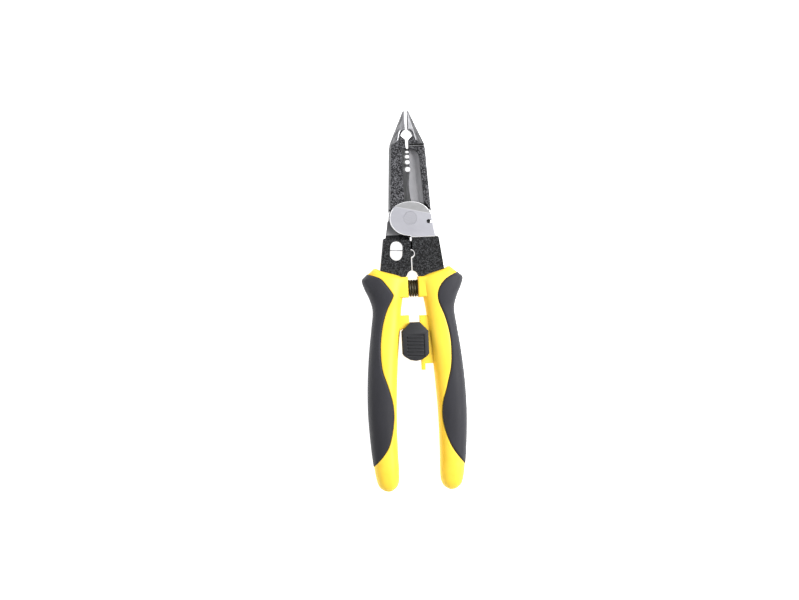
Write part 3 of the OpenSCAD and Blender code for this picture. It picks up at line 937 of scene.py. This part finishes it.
def loft(rings):
    """Closed mesh through rings of points, with a point in the middle of each end."""
    ends = [centre_of(rings[0]), centre_of(rings[-1])]
    points = [p for ring in rings for p in ring] + ends
    return mesh_of(points, skin_faces(len(rings), len(rings[0])))


def handle_mesh(stations):
    return loft([handle_ring(r) for r in stations])


def grip_mesh(stations):
    """Grip over the stations that have one, and one station more at each end."""
    used = [i for i, r in enumerate(stations) if r.split > 0]
    return loft([grip_ring(r) for r in stations[used[0] - 1:used[-1] + 2]])


SEAT_OUTLINE = rectangle(SEAT_MOUTH_X, -47.4, 11.6, -35)
SEAT_HALF_Z = 6.8
BRACKET_OUTLINE = [
    (3.15, -91), (5.4, -91), (5.4, -87.2), (13, -87.2), (10.5, -58.3), (3.15, -58.3),
]
TAB_OUTLINE = [
    (-12, -69), (-9.6, -67.4), (-5.4, -65.2), (-5.4, -70.2), (-3.15, -70.2), (-3.15, -57.9),
    (-11, -57.9),
]
FITTING_EDGE = 0.4
SLOT_R = 1.28
SLOT_ENDS = [(5.5, -81.7), (5.5, -69.4)]
EDGE_STEPS = 12


def seat_block():
    return prism(SEAT_OUTLINE, -SEAT_HALF_Z, SEAT_HALF_Z, 0.9, 3)


def bracket():
    return prism(BRACKET_OUTLINE, -BRACKET_H, BRACKET_H, FITTING_EDGE)


def tab():
    return prism(TAB_OUTLINE, -BRACKET_H, BRACKET_H, FITTING_EDGE)


def lock_slot():
    low, high = SLOT_ENDS
    outline = arc(low, SLOT_R, 180, 360, 12) + arc(high, SLOT_R, 0, 180, 12)
    return prism(outline, -BRACKET_H - 1, BRACKET_H + 1, 0.1)


def handle(name, node, body, edge, fittings, cuts, matrix):
    """Makes a handle whose grip ends at edge, and returns its stations for the grip."""
    smooth_edge = curve(edge, lambda i: EDGE_STEPS)
    stations = [Ring(row, smooth_edge) for row in dense_rows()]
    mesh = moved(handle_mesh(stations), matrix)
    for extra in fittings:
        mesh = boolean(mesh, extra, "UNION")
    for cut in cuts:
        mesh = boolean(mesh, cut, "DIFFERENCE")
    piece(name, mesh, body, [node], [YELLOW], 32)
    return stations


def grip(name, node, body, stations, matrix):
    mesh = moved(grip_mesh(stations), matrix)
    piece(name, mesh, body, [node], [GRIP], 40)


# ---- Spring, rivet, blade and lock ----

def spring():
    """Coil along X between the seats."""
    sides, steps, end_gap = 12, 40, 0.1
    coil_r = SPRING_R - WIRE_D / 2
    run = 2 * (SEAT_END_X - end_gap) - WIRE_D
    count = SPRING_TURNS * steps
    points = []
    for k in range(count + 1):
        t = 2 * math.pi * k / steps
        for i in range(sides):
            a = 2 * math.pi * i / sides
            r = coil_r + WIRE_D / 2 * math.cos(a)
            x = run * (k / count - 0.5) + WIRE_D / 2 * math.sin(a)
            points.append((x, SPRING_Y + r * math.cos(t), r * math.sin(t)))
    ends = [(x, SPRING_Y + coil_r, 0) for x in (-run / 2, run / 2)]
    mesh = mesh_of(points + ends, skin_faces(count + 1, sides))
    obj = piece("return_spring_coil", mesh, None, ["return_spring"], [SPRING], 60)
    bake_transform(obj)


RIVET_HEAD_R = 3.96
RIVET_NECK_R = 3.85
RIVET_SHANK_R = 3.2
RIVET_EDGE = 0.06


def rivet():
    """Headed rivet, the same at both ends, turned about the Z axis."""
    under, neck_z = BOSS_H - 1.1, BOSS_H - 1.2
    top = [
        (0.6, BOSS_H), (RIVET_HEAD_R - RIVET_EDGE, BOSS_H), (RIVET_HEAD_R, BOSS_H - RIVET_EDGE),
        (RIVET_HEAD_R, under), (RIVET_NECK_R, neck_z), (RIVET_SHANK_R, neck_z),
    ]
    profile = [(r, -z) for r, z in top] + [(r, z) for r, z in reversed(top)]
    piece("pivot_rivet_turned", lathe(profile, 72), "right_side", ["pivot_rivet"],
          [RIVET], 30)


BLADE_CENTRE = (-9, -18.9, 0)
BLADE_TURN = math.radians(-3)
BLADE_REACH = 5


def splitter():
    """Thin blade across the cable slot, ground to an edge at the front and the back."""
    half, flat, thick, edge = 2.5, 1.6, 0.25, 0.04
    section = [(thick, -flat), (thick, flat), (edge, half), (-edge, half), (-thick, flat),
               (-thick, -flat), (-edge, -half), (edge, -half)]
    n = len(section)
    points = [(x, y, z) for x in (-BLADE_REACH, BLADE_REACH) for y, z in section]
    faces = skin_faces(2, n, caps=False) + [list(range(n)), [n + i for i in range(n)]]
    place = Matrix.Translation(BLADE_CENTRE) @ Matrix.Rotation(BLADE_TURN, 4, "Z")
    mesh = moved(mesh_of(points, faces), place)
    piece("splitter_blade_ground", mesh, "left_side", ["splitter_blade"],
          [RIVET], 10)


LOCK_OUTLINE = [
    (2.9, -62.3), (-2.9, -62.3), (-4.6, -64), (-7.9, -67.6), (-7.8, -81.3), (-6, -83.2),
    (-3.5, -84.8), (0, -85.4), (3.5, -84.8), (6, -83.2), (7.8, -81.3), (7.9, -67.6), (4.6, -64),
]


LOCK_PANEL = rectangle(-5.2, -83, 5.4, -69.6)
PANEL_FLOOR = 2.3
RIB_COUNT = 6
RIB_TOP_Y = -71.2
RIB_PITCH = 2.08
RIB_HALF = 0.42
RIB_X = (-4.6, 4.8)
CATCH_OUTLINE = [
    (-7.4, -70.6), (-7.4, -82), (-6.4, -83), (2.7, -83), (2.7, -72.6), (-5.7, -72.6),
    (-5.7, -70.6),
]


def lock_plate(name, node, matrix):
    """Plate with a sunk panel, and ribs across the panel that stand up past its rim."""
    top = LOCK_IN_Z + LOCK_PLATE_T
    mesh = prism(LOCK_OUTLINE, LOCK_IN_Z, top - 0.4, 0.6, 3)
    panel = prism(LOCK_PANEL, LOCK_IN_Z + PANEL_FLOOR, LOCK_IN_Z + 5, 0.2)
    mesh = boolean(mesh, panel, "DIFFERENCE")
    for k in range(RIB_COUNT):
        y = RIB_TOP_Y - k * RIB_PITCH
        rib = prism(rectangle(RIB_X[0], y - RIB_HALF, RIB_X[1], y + RIB_HALF),
                    LOCK_IN_Z + 1, top, 0.25)
        mesh = boolean(mesh, rib, "UNION")
    piece(name, moved(mesh, matrix), "lock", [node], [LOCK], 25)


def lock_catch():
    mesh = prism(CATCH_OUTLINE, -LOCK_IN_Z, LOCK_IN_Z, 0.15)
    piece("lock_catch_block", mesh, "lock", ["lock_catch"], [LOCK], 25)


YELLOW = yellow_nylon()
GRIP = soft_grip()
LOCK = lock_plastic()
SPRING = spring_black()
RIVET = rivet_steel()

forging("left_jaw_forged", "left_jaw_forging", "right_side", False, LEFT_NOSE)
forging("right_jaw_forged", "right_jaw_forging", "left_side", True, RIGHT_NOSE)
rivet()
splitter()

# The right handle is drawn in place; the left one is its mirror image, leaned a little
HERE = Matrix.Identity(4)
LEANED = Matrix.Rotation(LEFT_LEAN, 4, "Z") @ MIRROR
socket_right = rod(SEAT_R, -1, SEAT_END_X, SPRING_Y, 0.1)
socket_left = rod(SEAT_R, -SEAT_END_X, 1, SPRING_Y, 0.1)
right = handle("right_handle_moulded", "right_handle", "right_side", RIGHT_GRIP_EDGE,
               [seat_block(), bracket()], [socket_right, lock_slot()], HERE)
left = handle("left_handle_moulded", "left_handle", "left_side", LEFT_GRIP_EDGE,
              [moved(seat_block(), MIRROR), tab()], [socket_left], LEANED)
grip("right_grip_soft", "right_grip", "right_side", right, HERE)
grip("left_grip_soft", "left_grip", "left_side", left, LEANED)
spring()
lock_plate("lock_front_plate_ribbed", "lock_front_plate", HERE)
lock_plate("lock_rear_plate_ribbed", "lock_rear_plate", TO_BACK)
lock_catch()
# The pins keep their CAD shape
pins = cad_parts["lock_pins"]
pins.data.materials.clear()
pins.data.materials.append(RIVET)


# ---- Floor, light and camera ----

LIT_POINT = Vector((0, -0.05, 0))
VIEW_CENTRE = Vector((-8.55, -48.6, 12.6)) * MM
VIEW_WIDTH = 479.4 * MM
CAMERA_TILT = math.radians(-2)
CAMERA_TURN = math.radians(-2.51)


def floor():
    half, gap = 4.0, 0.02 * MM
    z = cad_low.z - gap
    mesh = bpy.data.meshes.new("floor")
    mesh.from_pydata([(-half, -half, z), (half, -half, z), (half, half, z), (-half, half, z)],
                     [], [[0, 1, 2, 3]])
    mesh.materials.append(floor_white())
    obj = bpy.data.objects.new("floor", mesh)
    bpy.context.scene.collection.objects.link(obj)


def area_light(name, place, size, power):
    """Soft rectangular light aimed at the middle of the tool."""
    data = bpy.data.lights.new(name, "AREA")
    data.shape = "RECTANGLE"
    data.size, data.size_y = size
    data.energy = power
    obj = bpy.data.objects.new(name, data)
    obj.location = place
    obj.rotation_euler = (LIT_POINT - Vector(place)).to_track_quat("-Z", "Y").to_euler()
    bpy.context.scene.collection.objects.link(obj)


def sky():
    """Even grey surroundings, a little brighter from below than from above."""
    world = bpy.data.worlds.new("studio")
    world.use_nodes = True
    nodes, links = world.node_tree.nodes, world.node_tree.links
    back = nodes["Background"]
    place = nodes.new("ShaderNodeTexCoord").outputs["Generated"]
    split = nodes.new("ShaderNodeSeparateXYZ")
    ramp = nodes.new("ShaderNodeValToRGB")
    links.new(place, split.inputs[0])
    links.new(split.outputs["Z"], ramp.inputs[0])
    ramp.color_ramp.elements[0].position = 0.0
    ramp.color_ramp.elements[0].color = (0.42, 0.42, 0.43, 1)
    ramp.color_ramp.elements[1].position = 1.0
    ramp.color_ramp.elements[1].color = (0.36, 0.36, 0.37, 1)
    links.new(ramp.outputs[0], back.inputs["Color"])
    back.inputs["Strength"].default_value = 1.0
    bpy.context.scene.world = world


def camera():
    """Camera above the tool, turned and tilted a little, framing VIEW_WIDTH at VIEW_CENTRE."""
    height = 1.2
    data = bpy.data.cameras.new("camera")
    data.sensor_width = 36
    data.lens = data.sensor_width * height / VIEW_WIDTH
    turn = Euler((0, CAMERA_TILT, CAMERA_TURN))
    obj = bpy.data.objects.new("camera", data)
    obj.location = VIEW_CENTRE + turn.to_matrix() @ Vector((0, 0, height - MID_Z))
    obj.rotation_euler = turn
    bpy.context.scene.collection.objects.link(obj)
    bpy.context.scene.camera = obj


floor()
sky()
area_light("key", (0.85, 0.2, 0.9), (0.7, 0.7), 26)
area_light("fill", (-0.85, 0.3, 0.8), (0.6, 0.9), 4.5)
camera()
bpy.context.scene.view_settings.view_transform = "Standard"
